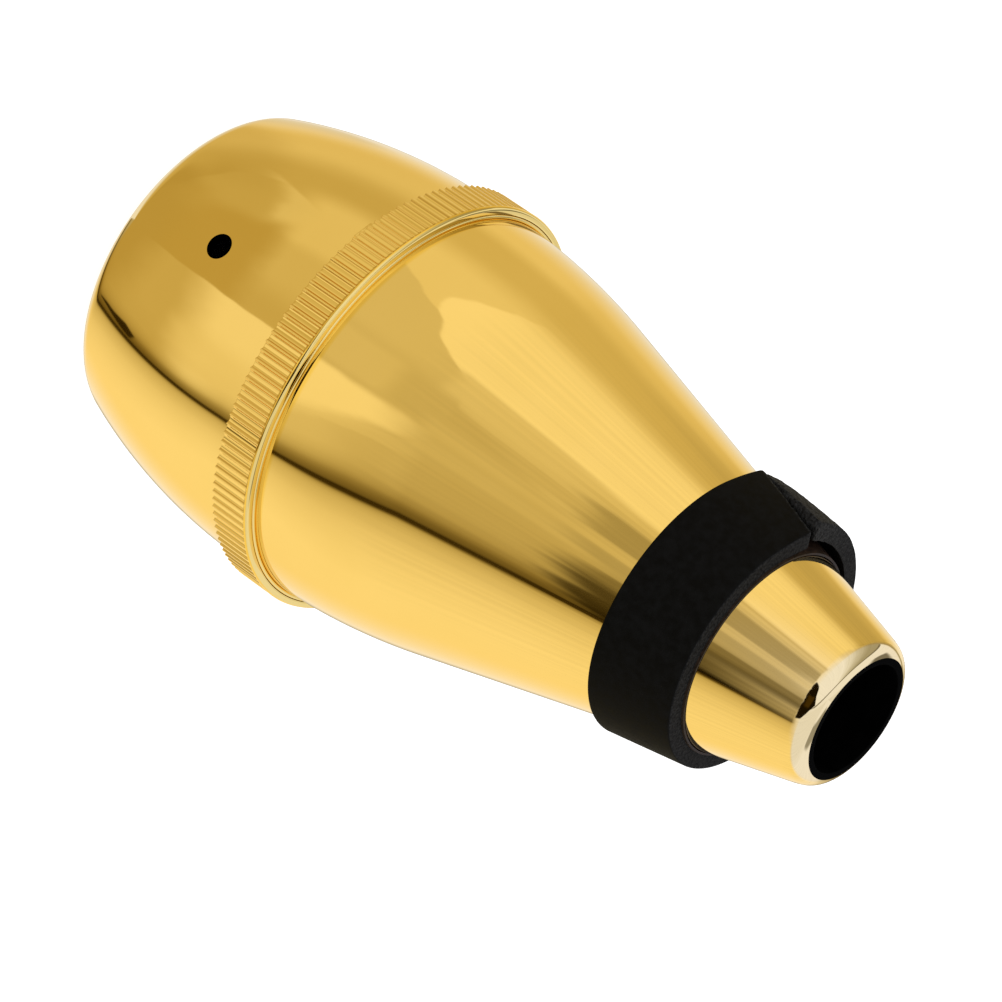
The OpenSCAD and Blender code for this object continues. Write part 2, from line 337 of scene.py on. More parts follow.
beyond = nodes.new("ShaderNodeVectorMath")
beyond.operation = "DOT_PRODUCT"
links.new(place.outputs["Generated"], beyond.inputs[0])
beyond.inputs[1].default_value = gap_plane
past_gap = math("DEGREES", math("ARCSINE", beyond.outputs["Value"]))
past_gap = math("ADD", past_gap, ramp(height, -12, 2, 0, gap_shift, "LINEAR"))
spread = math("SUBTRACT", ramp(height, -41, -12, *left_spread, "LINEAR"),
              ramp(height, -60, -41, left_spread_foot, 0))
before_gap = math("DIVIDE", math("MULTIPLY", past_gap, -1), spread)
left_wall = mix(1, seen, shade(before_gap, left_shade), "MULTIPLY")
after_gap = math("DIVIDE", past_gap, ramp(height, -32, -12, *right_spread))
walls = mix(math("GREATER_THAN", past_gap, 0), left_wall, shade(after_gap, right_shade))
seen = mix(math("GREATER_THAN", bearing, -20), seen, walls)

# Higher up the wall is shaded on the left. The white ceiling meets it in a dark seam that
# runs up and over the mute, and a black hood hangs over the opening, with a grey clip in it.
seam_plane = Vector((0.610, 0.792, 0.026)).normalized()
seam_offset = 12.5
seen = panel(seen, 0.80, left_of(-56, 20), over(6, 4))
seen = panel(seen, 0.58, left_of(-76, 20), over(6, 4))
seen = panel(seen, 0.40, left_of(-94, 20), over(6, 4))
seen = panel(seen, 0.92, right_of(-56, 16), over(9.6, 2))
tilt = nodes.new("ShaderNodeVectorMath")
tilt.operation = "DOT_PRODUCT"
links.new(place.outputs["Generated"], tilt.inputs[0])
tilt.inputs[1].default_value = seam_plane
past_seam = math("ADD", math("DEGREES", math("ARCSINE", tilt.outputs["Value"])), seam_offset)
seen = panel(seen, 0.90, ramp(past_seam, -0.5, 0.5), over(11, 3))
seen = panel(seen, 0.80, right_of(30, 10), left_of(115, 20), over(7, 6), share=0.8)
seen = panel(seen, 0.12, ramp(past_seam, -2.2, -1.4), ramp(past_seam, 2.2, 1.4),
             left_of(26, 4), over(12, 4), share=0.8)
seen = panel(seen, 0.01, side((-10, 10.6), (46, 8.6), 1), side((43, 10), (35.8, 23), 1.5),
             side((35.8, 23), (20, 49), 1.5), side((20, 49), (-0.3, 25), 1.5),
             side((-0.3, 25), (-9, 12), 1.5))
seen = panel(seen, 0.06, right_of(8, 3), left_of(24, 5), over(12, 3), under(27, 8),
             share=0.8, warmth=2)
seen = panel(seen, 0.13, right_of(-168, 6), left_of(-144, 6), over(26, 6), under(44, 6),
             share=0.9, warmth=0.6)
seen = panel(seen, 0.22, right_of(118, 8), left_of(172, 6), over(50, 6), under(70, 6),
             share=0.85, warmth=0.6)

# A black clip sits low beside the gap, and grey panels hang behind the mute.
seen = panel(seen, 0.03, side((82, -60.5), (76, -53.5), 1), side((72, -53.5), (72, -56.5), 1),
             side((72, -56.5), (79, -60.5), 1), side((76, -53.5), (70, -53.5), 0.8))
seen = panel(seen, 0.62, right_of(165, 10), over(-45, 20), under(14, 8))
seen = panel(seen, 0.12, right_of(172, 6), over(-36, 20), under(14, 8))
seen = panel(seen, 0.55, left_of(-170, 8), over(-45, 20), under(14, 8))
seen = panel(seen, 0.12, left_of(-175, 6), over(-30, 14), under(14, 8))
seen = panel(seen, 0.80, left_of(-165, 10), over(16, 8))
pleats = nodes.new("ShaderNodeTexNoise")
pleats.noise_dimensions = "1D"
pleats.inputs["Scale"].default_value = pleat_scale
pleats.inputs["Detail"].default_value = pleat_detail
links.new(bearing, pleats.inputs["W"])
pleat_tone = ramp(pleats.outputs["Fac"], 0.3, 0.7, pleat_shade, 1)
seen = mix(ramp(height, -14, -2), seen, pleat_tone, "MULTIPLY")

# The cloth low down in front is cream. It turns white round at the back, and a cool white
# higher up.
ceiling_tint = (1, 1.03, 1.22, 1)
behind = math("MAXIMUM", ramp(bearing, 124, 170, 0, 0.8), ramp(bearing, -128, -165))
tint = mix(behind, cloth_tint, (1, 1, 1, 1))
seen = mix(1, seen, mix(ramp(height, 4, 15), tint, ceiling_tint), "MULTIPLY")

ray = nodes.new("ShaderNodeLightPath")
shine = nodes.new("ShaderNodeBackground")
links.new(seen, shine.inputs["Color"])
soft = nodes.new("ShaderNodeBackground")
soft.inputs["Color"].default_value = (1, 1, 1, 1)
soft.inputs["Strength"].default_value = room_light
backdrop = nodes.new("ShaderNodeBackground")
backdrop.inputs["Color"].default_value = (1, 1, 1, 1)
lit = nodes.new("ShaderNodeMixShader")
links.new(ray.outputs["Is Diffuse Ray"], lit.inputs[0])
links.new(shine.outputs[0], lit.inputs[1])
links.new(soft.outputs[0], lit.inputs[2])
shown = nodes.new("ShaderNodeMixShader")
links.new(ray.outputs["Is Camera Ray"], shown.inputs[0])
links.new(lit.outputs[0], shown.inputs[1])
links.new(backdrop.outputs[0], shown.inputs[2])
output = nodes.new("ShaderNodeOutputWorld")
links.new(shown.outputs[0], output.inputs["Surface"])
bpy.context.scene.view_settings.view_transform = "Standard"

# The rear cup is a moulded plastic shell, plated and polished to a mirror gold inside and
# out. It carries the collar at its mouth, with the nut thread that the front screws into.
shell_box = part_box("front_shell")
cup_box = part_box("rear_cup")
seal_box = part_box("seal_ring")
collar_radius = cup_box[1].x
collar_top = 49 * mm
ledge = seal_box[0].z
seal_radius = seal_box[1].x
cup_height = 41.2 * mm
collar_step = 1.85 * mm
cup_radius = collar_radius - collar_step
cup_straight = 3 * mm
cup_bow = 100 * mm
cup_corner = 6 * mm
cup_wall = 2.2 * mm
collar_round = 0.65 * mm
seat_gap = 0.08 * mm
flute_top = collar_top - collar_round - 0.05 * mm
core_depth = 0.54 * mm
collar_core = collar_radius - core_depth
screw_gap = 0.3 * mm
tooth_height = 0.8 * mm
bore_radius = cup_radius - cup_wall + tooth_height
turn_steps = 256
arc_step = radians(2)
corner_step = radians(4)
bow_step = radians(0.4)
rim_step = radians(7)
join_distance = 0.002 * mm
smooth_angle = radians(35)
crisp_edge = 0.04 * mm
bore_bottom = 38.9 * mm


def arc(x, z, radius, start, end, step=arc_step):
    """Points of an arc about (x, z), evenly spaced and no further apart than the step."""
    count = max(2, round(abs(end - start) / step))
    angles = [start + (end - start) * i / count for i in range(count + 1)]
    return [(x + radius * cos(a), z + radius * sin(a)) for a in angles]


def fillet(before, corner, after, radius, steps=5):
    """The points that round one corner of an outline."""
    back, on = (Vector(before) - Vector(corner)), (Vector(after) - Vector(corner))
    half = back.angle(on) / 2
    reach = radius / tan(half)
    start = Vector(corner) + back.normalized() * reach
    end = Vector(corner) + on.normalized() * reach
    inward = (back.normalized() + on.normalized()).normalized()
    middle = Vector(corner) + inward * radius / sin(half)
    turn = (start - middle).angle_signed(end - middle)
    points = [Matrix.Rotation(-turn * i / steps, 2) @ (start - middle) for i in range(steps + 1)]
    return [tuple(middle + p) for p in points]


def rounded(corners, radius):
    """An outline of corners as points, each corner but the first and the last rounded."""
    points = [corners[0]]
    for before, corner, after in zip(corners, corners[1:], corners[2:]):
        points += fillet(before, corner, after, radius)
    return points + [corners[-1]]


def lathe(name, outline, steps=turn_steps, around=2 * pi):
    """Draws an outline point by point in the XZ plane and spins it round the axis."""
    bpy.ops.object.select_all(action="DESELECT")
    bpy.ops.mesh.primitive_plane_add(size=mm)
    made = bpy.context.object
    made.name = name
    bpy.ops.object.mode_set(mode="EDIT")
    bpy.ops.mesh.merge(type="CENTER")
    bpy.ops.transform.translate(value=(outline[0][0], 0, outline[0][1]))
    for (x, z), (next_x, next_z) in zip(outline, outline[1:]):
        step = {"value": (next_x - x, 0, next_z - z)}
        bpy.ops.mesh.extrude_region_move(TRANSFORM_OT_translate=step)
    bpy.ops.mesh.select_all(action="SELECT")
    bpy.ops.mesh.spin(steps=steps, angle=-around, center=(0, 0, 0), axis=(0, 0, 1))
    bpy.ops.mesh.select_all(action="SELECT")
    bpy.ops.mesh.remove_doubles(threshold=join_distance)
    bpy.ops.mesh.normals_make_consistent(inside=False)
    bpy.ops.object.mode_set(mode="OBJECT")
    bpy.ops.object.shade_smooth_by_angle(angle=smooth_angle)
    return made


def cup_side(depth):
    """The cup's wall at a depth below its outside, from the base up to the collar."""
    lean = asin((cup_height - cup_straight - cup_corner) / (cup_bow - cup_corner))
    corner_x = cup_radius - cup_bow + (cup_bow - cup_corner) * cos(lean)
    corner = arc(corner_x, cup_corner, cup_corner - depth, -pi / 2, -lean, corner_step)
    bow = arc(cup_radius - cup_bow, cup_height - cup_straight, cup_bow - depth, -lean, 0, bow_step)
    return corner + bow[1:]


collar_outline = rounded([(cup_radius, cup_height - mm),
                          (cup_radius, cup_height),
                          (collar_core, cup_height),
                          (collar_core, flute_top),
                          (collar_radius, flute_top),
                          (collar_radius, collar_top - collar_round)], crisp_edge)
collar_outline += arc(collar_radius - collar_round, collar_top - collar_round, collar_round,
                      0, pi / 2, rim_step)[1:]
collar_outline += rounded([(collar_radius - collar_round, collar_top),
                           (seal_radius + seat_gap, collar_top),
                           (seal_radius + seat_gap, ledge),
                           (bore_radius, ledge),
                           (bore_radius, bore_bottom),
                           (cup_radius - cup_wall, bore_bottom)], crisp_edge)[1:]
cup_outline = [(0, 0)] + cup_side(0) + collar_outline + cup_side(cup_wall)[::-1] + [(0, cup_wall)]
cup = lathe("cup_shell", cup_outline)


gold_dark = (0.98, 0.815, 0.475, 1)
gold_light = (1, 0.835, 0.505, 1)
gold_glance = (1, 0.92, 0.8, 1)
gold_cloud_scale = 60
gold_haze = (0.03, 0.06)
ring_tint = (0.98, 0.9, 0.52, 1)
ring_start = (flute_top - 0.1 * mm, flute_top + 0.1 * mm)
ring_end = (collar_top + 1.6 * mm, collar_top + 1.1 * mm)
# Painted shade: the flutes' steep walls are multiplied by this browner tint so the grooves look
# darker.
groove_shade_tint = (0.8, 0.72, 0.58, 1)


def gold_finish():
    """Polished pale gold plating with a little handling haze. The deeper tone of the plain ring and
    the bead is copied from the look of the mute, though the real plating may well be the same all
    over. The browner tone of the flutes' steep walls is painted shade in the grooves."""
    made = bpy.data.materials.new("polished_gold")
    made.use_nodes = True
    nodes, links = made.node_tree.nodes, made.node_tree.links
    shader = nodes["Principled BSDF"]
    shader.inputs["Metallic"].default_value = 1
    shader.inputs["Specular Tint"].default_value = gold_glance
    place = nodes.new("ShaderNodeTexCoord")
    cloud = nodes.new("ShaderNodeTexNoise")
    cloud.inputs["Scale"].default_value = gold_cloud_scale
    cloud.inputs["Detail"].default_value = 3
    tone = nodes.new("ShaderNodeValToRGB")
    tone.color_ramp.elements[0].position = 0.3
    tone.color_ramp.elements[0].color = gold_dark
    tone.color_ramp.elements[1].position = 0.7
    tone.color_ramp.elements[1].color = gold_light
    split = nodes.new("ShaderNodeSeparateXYZ")
    rise = nodes.new("ShaderNodeMapRange")
    rise.inputs["From Min"].default_value, rise.inputs["From Max"].default_value = ring_start
    fall = nodes.new("ShaderNodeMapRange")
    fall.inputs["From Min"].default_value, fall.inputs["From Max"].default_value = ring_end
    on_ring = nodes.new("ShaderNodeMath")
    on_ring.operation = "MULTIPLY"
    ring_tone = nodes.new("ShaderNodeMix")
    ring_tone.data_type = "RGBA"
    ring_tone.blend_type = "MULTIPLY"
    ring_tone.inputs["B"].default_value = ring_tint
    # Painted shade on the flutes' steep walls, read from the mesh's mark.
    groove_shade = nodes.new("ShaderNodeAttribute")
    groove_shade.attribute_name = "groove_shade"
    groove_shade_tone = nodes.new("ShaderNodeMix")
    groove_shade_tone.data_type = "RGBA"
    groove_shade_tone.blend_type = "MULTIPLY"
    groove_shade_tone.inputs["B"].default_value = groove_shade_tint
    haze = nodes.new("ShaderNodeMapRange")
    haze.inputs["To Min"].default_value, haze.inputs["To Max"].default_value = gold_haze
    links.new(place.outputs["Object"], cloud.inputs["Vector"])
    links.new(cloud.outputs["Fac"], tone.inputs["Fac"])
    links.new(cloud.outputs["Fac"], haze.inputs["Value"])
    links.new(place.outputs["Object"], split.inputs[0])
    links.new(split.outputs["Z"], rise.inputs["Value"])
    links.new(split.outputs["Z"], fall.inputs["Value"])
    links.new(rise.outputs["Result"], on_ring.inputs[0])
    links.new(fall.outputs["Result"], on_ring.inputs[1])
    links.new(on_ring.outputs[0], ring_tone.inputs["Factor"])
    links.new(tone.outputs["Color"], ring_tone.inputs["A"])
    links.new(groove_shade.outputs["Fac"], groove_shade_tone.inputs["Factor"])
    links.new(ring_tone.outputs["Result"], groove_shade_tone.inputs["A"])
    links.new(groove_shade_tone.outputs["Result"], shader.inputs["Base Color"])
    links.new(haze.outputs["Result"], shader.inputs["Roughness"])
    return made


gold = gold_finish()
cup.data.materials.append(gold)

# The vent is a plain round hole drilled through the cup's front wall.
vent_diameter = 4.5 * mm
vent_height = 22.3 * mm

bpy.ops.object.select_all(action="DESELECT")
bpy.ops.mesh.primitive_cylinder_add(vertices=64, radius=vent_diameter / 2, depth=cup_radius,
                                    location=(0, -cup_radius, vent_height), rotation=(pi / 2, 0, 0))
drill = bpy.context.object
hole = cup.modifiers.new("vent", "BOOLEAN")
hole.operation = "DIFFERENCE"
hole.solver = "EXACT"
hole.object = drill
bpy.context.view_layer.objects.active = cup
bpy.ops.object.modifier_apply(modifier="vent")
bpy.data.objects.remove(drill)
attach(cup, "cup")
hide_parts("rear_cup")

# The collar's grip is moulded with the cup: 140 hollow flutes with narrow ribs between
# them, open at the rear and stopped by the plain ring in front. One flute is shaped on
# a short arc of the ring and copied round.
flute_count = 140
flute_steps = 16
rib_share = 0.125
rib_drop = 0.03 * mm
flute_depth = 0.42 * mm
flute_squareness = 3.6
flute_run_out = 0.6 * mm
rib_corner = 0.12 * mm
shaded_steep_wall = (0.1, 0.8)
grip_root = collar_core - 0.1 * mm

pitch_angle = 2 * pi / flute_count
rib_top = collar_radius - rib_drop
grip_outline = rounded([(grip_root, cup_height),
                        (rib_top, cup_height),
                        (rib_top, cup_height + mm)], rib_corner)
grip_outline += [(rib_top, flute_top - flute_run_out * cos(radians(angle)))
                 for angle in range(0, 91, 10)]
grip_outline += [(grip_root, flute_top), (grip_root, cup_height)]
grip = lathe("collar_flutes", grip_outline, steps=flute_steps, around=pitch_angle)
# Marks each flute's steep walls for the gold's painted shade, which darkens the grooves.
groove_shade = grip.data.attributes.new("groove_shade", "FLOAT", "POINT")
for vertex in grip.data.vertices:
    x, y, z = vertex.co
    radius = hypot(x, y)
    if radius > collar_core:
        share = abs(atan2(y, x) / pitch_angle * 2 - 1)
        hollow = max(0, 1 - (share / (1 - rib_share)) ** flute_squareness)
        end = min(1, max(0, 1 - (flute_top - z) / flute_run_out))
        hollow *= (1 - end ** 2) ** 0.5
        groove_shade.data[vertex.index].value = 1 if shaded_steep_wall[0] < hollow < shaded_steep_wall[1] else 0
        scale = (radius - hollow * flute_depth) / radius
        vertex.co = (x * scale, y * scale, z)
bpy.ops.object.empty_add(rotation=(0, 0, pitch_angle))
turner = bpy.context.object
bpy.context.view_layer.objects.active = grip
copies = grip.modifiers.new("copies", "ARRAY")
copies.count = flute_count
copies.use_relative_offset = False
copies.use_object_offset = True
copies.offset_object = turner
bpy.ops.object.modifier_apply(modifier="copies")
bpy.data.objects.remove(turner)
bpy.ops.object.select_all(action="DESELECT")
grip.select_set(True)
bpy.ops.object.mode_set(mode="EDIT")
bpy.ops.mesh.select_all(action="SELECT")
bpy.ops.mesh.remove_doubles(threshold=join_distance)
bpy.ops.mesh.normals_make_consistent(inside=False)
bpy.ops.object.mode_set(mode="OBJECT")
grip.data.materials.append(gold)
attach(grip, "cup")
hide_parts("rear_cup")

# The index step is a small block moulded behind the collar, seen as one bright notch there.
# What it is for isn't known: it may mark where the halves line up.
index_width = 3.9 * mm
index_height = 0.5 * mm
index_sink = 1 * mm
index_angle = radians(-114.5)
index_round = 0.15 * mm

index_root = cup_radius - cup_wall / 2
bpy.ops.object.select_all(action="DESELECT")
bpy.ops.mesh.primitive_cube_add(size=1)
index = bpy.context.object
index.name = "index_step"
bpy.ops.object.mode_set(mode="EDIT")
bpy.ops.transform.resize(value=(collar_core - index_root, index_width, index_height + index_sink))
bpy.ops.transform.translate(value=((collar_core + index_root) / 2, 0,
                                   cup_height + (index_sink - index_height) / 2))
bpy.ops.mesh.bevel(offset=index_round, segments=3)
bpy.ops.transform.rotate(value=-index_angle, orient_axis="Z", center_override=(0, 0, 0))
bpy.ops.object.mode_set(mode="OBJECT")
bpy.ops.object.shade_smooth_by_angle(angle=smooth_angle)
index.data.materials.append(gold)
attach(index, "cup")
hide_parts("rear_cup")

# The nut thread is moulded inside the collar: one blunt tooth that climbs the wall for about
# a turn and a half. It isn't seen in the photograph.
screw_pitch = 3 * mm
tooth_foot = 1.75 * mm
tooth_crest = 1.05 * mm
tooth_sink = 0.3 * mm
tooth_round = 0.12 * mm
thread_start = radians(40)
thread_steps = 96
thread_margin = 0.3 * mm
spigot_reach = 1.7 * mm

shoulder = tooth_foot / 2 + thread_margin
spigot_bottom = cup_height - spigot_reach


def thread(name, foot, crest, low, high):
    """A right-hand thread: the tooth's section is drawn at its start and screwed upwards."""
    out = 1 if crest > foot else -1
    turns = (high - low) / screw_pitch
    bpy.ops.object.select_all(action="DESELECT")
    bpy.ops.mesh.primitive_plane_add(size=1, rotation=(pi / 2, 0, 0))
    made = bpy.context.object
    made.name = name
    bpy.ops.object.transform_apply(rotation=True)
    sunk_foot = tooth_foot + (tooth_foot - tooth_crest) * tooth_sink / tooth_height
    for vertex in made.data.vertices:
        at_crest = vertex.co.x * out > 0
        width = tooth_crest if at_crest else sunk_foot
        vertex.co = (crest if at_crest else foot - out * tooth_sink, 0, low + vertex.co.z * width)
    bpy.ops.object.mode_set(mode="EDIT")
    bpy.ops.mesh.bevel(offset=tooth_round, segments=3, affect="VERTICES")
    bpy.ops.mesh.delete(type="ONLY_FACE")
    bpy.ops.object.mode_set(mode="OBJECT")
    climb = made.modifiers.new("climb", "SCREW")
    climb.angle = 2 * pi * turns
    climb.screw_offset = high - low
    climb.steps = climb.render_steps = round(turns * thread_steps)
    bpy.ops.object.modifier_apply(modifier="climb")
    bpy.ops.object.mode_set(mode="EDIT")
    bpy.ops.mesh.select_all(action="SELECT")
    bpy.ops.mesh.fill_holes(sides=0)
    bpy.ops.mesh.select_all(action="SELECT")
    bpy.ops.mesh.normals_make_consistent(inside=False)
    bpy.ops.transform.rotate(value=-thread_start, orient_axis="Z", center_override=(0, 0, 0))
    bpy.ops.object.mode_set(mode="OBJECT")
    bpy.ops.object.shade_smooth_by_angle(angle=smooth_angle)
    made.data.materials.append(gold)
    return made


spigot_tooth_low = spigot_bottom + shoulder
nut_thread = thread("nut_thread", bore_radius, cup_radius - cup_wall,
                    spigot_tooth_low + screw_pitch / 2, ledge - shoulder)
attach(nut_thread, "cup")
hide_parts("rear_cup")

# A flat rubber ring lies on the ledge inside the collar and seals the joint when the front
# is screwed down on it. It is stamped from sheet and is hidden while the mute is closed.
seal_round = 0.12 * mm


def dull_finish(name, dark, light, scale, roughness, grain, shine=0.5):
    """A dull finish for rubber, plastic, tape and foam: cloudy tone, fine grain in the surface."""
    made = bpy.data.materials.new(name)
    made.use_nodes = True
    nodes, links = made.node_tree.nodes, made.node_tree.links
    shader = nodes["Principled BSDF"]
    shader.inputs["Specular IOR Level"].default_value = shine
    place = nodes.new("ShaderNodeTexCoord")
    cloud = nodes.new("ShaderNodeTexNoise")
    cloud.inputs["Scale"].default_value = scale
    cloud.inputs["Detail"].default_value = 5
    tone = nodes.new("ShaderNodeValToRGB")
    tone.color_ramp.elements[0].position = 0.35
    tone.color_ramp.elements[0].color = (*dark, 1)
    tone.color_ramp.elements[1].position = 0.65
    tone.color_ramp.elements[1].color = (*light, 1)
    haze = nodes.new("ShaderNodeMapRange")
    haze.inputs["To Min"].default_value, haze.inputs["To Max"].default_value = roughness
    bump = nodes.new("ShaderNodeBump")
    bump.inputs["Distance"].default_value = grain
    links.new(place.outputs["Object"], cloud.inputs["Vector"])
    links.new(cloud.outputs["Fac"], tone.inputs["Fac"])
    links.new(cloud.outputs["Fac"], haze.inputs["Value"])
    links.new(cloud.outputs["Fac"], bump.inputs["Height"])
    links.new(tone.outputs["Color"], shader.inputs["Base Color"])
    links.new(haze.outputs["Result"], shader.inputs["Roughness"])
    links.new(bump.outputs["Normal"], shader.inputs["Normal"])
    return made


def ring(name, inner, outer, low, high, edge):
    """A plain flat ring or disc with rounded edges."""
    corners = [(inner, (low + high) / 2), (inner, low), (outer, low), (outer, high), (inner, high)]
    corners = corners + [corners[0]] if inner else [(0, low)] + corners[2:4] + [(0, high)]
    return lathe(name, rounded(corners, edge))


seal = ring("seal_ring_rubber", bore_radius, seal_radius, seal_box[0].z, seal_box[1].z, seal_round)
seal.data.materials.append(dull_finish("seal_rubber", dark=(0.02, 0.02, 0.02),
                                       light=(0.032, 0.031, 0.03), scale=900,
                                       roughness=(0.55, 0.7), grain=0.02 * mm))
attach(seal, "seal")
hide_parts("seal_ring")

# The front shell is plated like the cup. Its flange and round bead seat in the collar, and
# its wall leans in to a straight cone. The nose starts at a fine crease, with a short facet
# before its rounding, and is recessed round the opening for the tube's lip.
mute_top = shell_box[1].z
shell_radius = collar_radius - 2 * mm
flange_bottom = seal_box[1].z
bead_radius = 0.35 * mm
bead_centre = flange_bottom + bead_radius
cone_foot = flange_bottom + 0.9 * mm
lean_start = radians(2.6)
front_bow = 115 * mm
front_wall = 2.2 * mm
crease_height = 142 * mm
facet_lean = radians(19)
facet_length = 1 * mm
nose_round = 3.49 * mm
lip_radius = 11.05 * mm
lip_height = 0.5 * mm
cone_end = 12.75 * mm
nose_plane = 145.3 * mm
tube_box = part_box("nose_tube")
tube_radius = tube_box[1].x
grip_length = 10 * mm
bead_step = radians(10)
front_step = radians(0.3)
nose_step = radians(3)
inside_step = radians(1)
spigot_radius = cup_radius - cup_wall - screw_gap
spigot_wall = 1.8 * mm
spigot_bore = spigot_radius - spigot_wall

bow_x = shell_radius - front_bow * cos(lean_start)
bow_z = cone_foot - front_bow * sin(lean_start)
run_x, run_z = cone_end - bow_x, nose_plane - bow_z
lean = atan2(run_z, run_x) - acos(front_bow / hypot(run_x, run_z))
cone_x, cone_z = bow_x + front_bow * cos(lean), bow_z + front_bow * sin(lean)


def cone_radius(z):
    """Outside radius of the straight cone at a height."""
    return cone_x - (z - cone_z) * tan(lean)


nose_x = cone_radius(crease_height) - facet_length * sin(facet_lean) - nose_round * cos(facet_lean)
nose_z = crease_height + facet_length * cos(facet_lean) - nose_round * sin(facet_lean)
nose_end = acos((lip_radius - nose_x) / nose_round)
lip_top = nose_z + nose_round * sin(nose_end)
grip_z = mute_top - grip_length
inner_bow = arc(bow_x, bow_z, front_bow - front_wall, lean_start, lean, inside_step)
bead_meet = asin((bead_centre - bow_z) / front_bow)
shell_outline = rounded([(spigot_bore, spigot_bottom),
                         (spigot_radius, spigot_bottom),
                         (spigot_radius, flange_bottom),
                         (seal_radius, flange_bottom),
                         (seal_radius, bead_centre)], crisp_edge)
shell_outline += arc(seal_radius - bead_radius, bead_centre, bead_radius, 0, pi, bead_step)[1:]
shell_outline += arc(bow_x, bow_z, front_bow, bead_meet, lean, front_step)[1:]
shell_outline += [(cone_radius(crease_height), crease_height)]
shell_outline += arc(nose_x, nose_z, nose_round, facet_lean, nose_end, nose_step)
shell_outline += [(lip_radius, lip_top - lip_height), (tube_radius, lip_top - lip_height)]
shell_outline += [(tube_radius, grip_z), (cone_radius(grip_z) - front_wall / cos(lean), grip_z)]
shell_outline += inner_bow[::-1]
shell_outline += [(spigot_bore, inner_bow[0][1] - (inner_bow[0][0] - spigot_bore)),
                  (spigot_bore, spigot_bottom)]
shell = lathe("front_shell_plated", shell_outline)
shell.data.materials.append(gold)
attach(shell, "shell")
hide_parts("front_shell")

spigot_thread = thread("spigot_thread", spigot_radius, spigot_radius + tooth_height,
                       spigot_tooth_low, flange_bottom - shoulder)
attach(spigot_thread, "shell")
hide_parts("front_shell")

# The tube is a black plastic pipe, gripped in the nose, that carries the sound from the
# mouth of the mute down into the chamber. A thin lip at its end covers the plating's edge.
# It is drawn far darker than black plastic and nearly without shine, which paints the deep
# shade inside the bore.
tube_wall = 0.8 * mm
tube_round = 0.15 * mm
lip_gap = 0.02 * mm

bore = tube_radius - tube_wall
tube_middle = (tube_box[0].z + lip_top) / 2
tube = lathe("nose_tube_pipe", rounded([(bore, tube_middle),
                                        (bore, tube_box[0].z),
                                        (tube_radius, tube_box[0].z),
                                        (tube_radius, lip_top - lip_height),
                                        (lip_radius - lip_gap, lip_top - lip_height),
                                        (lip_radius - lip_gap, lip_top),
                                        (bore, lip_top),
                                        (bore, tube_middle)], tube_round))
# Painted shade: the near-nought tone and shine stand in for the darkness deep in the bore.
tube.data.materials.append(dull_finish("tube_plastic_bore_shade", dark=(0.0004, 0.0004, 0.0004),
                                       light=(0.0012, 0.0012, 0.0012), scale=300,
                                       roughness=(0.6, 0.75), grain=0.01 * mm, shine=0.01))
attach(tube, "shell")
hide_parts("nose_tube")

# Double-sided tape with a dark paper liner is wound once round the cone under the foam and
# shows as a thin brown edge in front of it. Its tone is kept near black, which also paints
# the shade under the foam where the lifted end shows the tape.
band_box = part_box("foam_band")
band_rear = band_box[0].z
band_front = band_box[1].z
tape_gap = 0.03 * mm
tape_thickness = 0.4 * mm
tape_proud = 0.4 * mm

tape = lathe("foam_tape_wrap", [(cone_radius(band_rear) + tape_gap, band_rear),
                                (cone_radius(band_rear) + tape_thickness, band_rear),
                                (cone_radius(band_front) + tape_thickness, band_front + tape_proud),
                                (cone_radius(band_front) + tape_gap, band_front + tape_proud),
                                (cone_radius(band_rear) + tape_gap, band_rear)])
# Partly the liner's brown, partly painted shade: kept near black for the shadow under the lifted
# foam.
tape.data.materials.append(dull_finish("tape_liner_shaded", dark=(0.008, 0.0045, 0.003),
                                       light=(0.03, 0.016, 0.009), scale=1500,
                                       roughness=(0.35, 0.6), grain=0.02 * mm, shine=0.2))
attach(tape, "shell")
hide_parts("foam_tape")

# The band is a strip of dense black foam rubber, cut flat, bent round the cone on its tape
# and butted at a skewed seam. One end has come up off the tape at its front corner, and the
# other has sprung straight for a short way.
band_rear_thickness = 1.8 * mm
band_front_thickness = 3.2 * mm
band_edge = 0.45 * mm
band_rows = 20
band_steps = 300
seam_angle = radians(-156)
seam_lean = tan(radians(16))
seam_gap = 0.3 * mm
cut_slant = 1.3 * mm
lift_height = 2.4 * mm
lift_reach = radians(120)
lift_power = 0.6
lift_inside = 0.85
spring_height = 0.9 * mm
spring_reach = radians(22)
# Greyer tone of the scuffed end and the cut faces: real open pores and painted light together.
cut_grey_and_lift = 0.5
cut_edge = 0.005
scuff_sheen_reach = 0.2
scuff_scale = 1.1 * mm
scuff_height = 0.16 * mm
foam_shine = 0.06
foam_haze = (0.6, 0.85)
skin_scale = 700
skin_tones = (0.0035, 0.0075)
pore_scale = 2200
pore_tones = (0.008, 0.05)
pore_depth = 0.15 * mm


def steps_between(start, end, count):
    """Evenly spaced points after the start of a straight run, up to and with its end."""
    return [tuple(Vector(start).lerp(Vector(end), i / count)) for i in range(1, count + 1)]


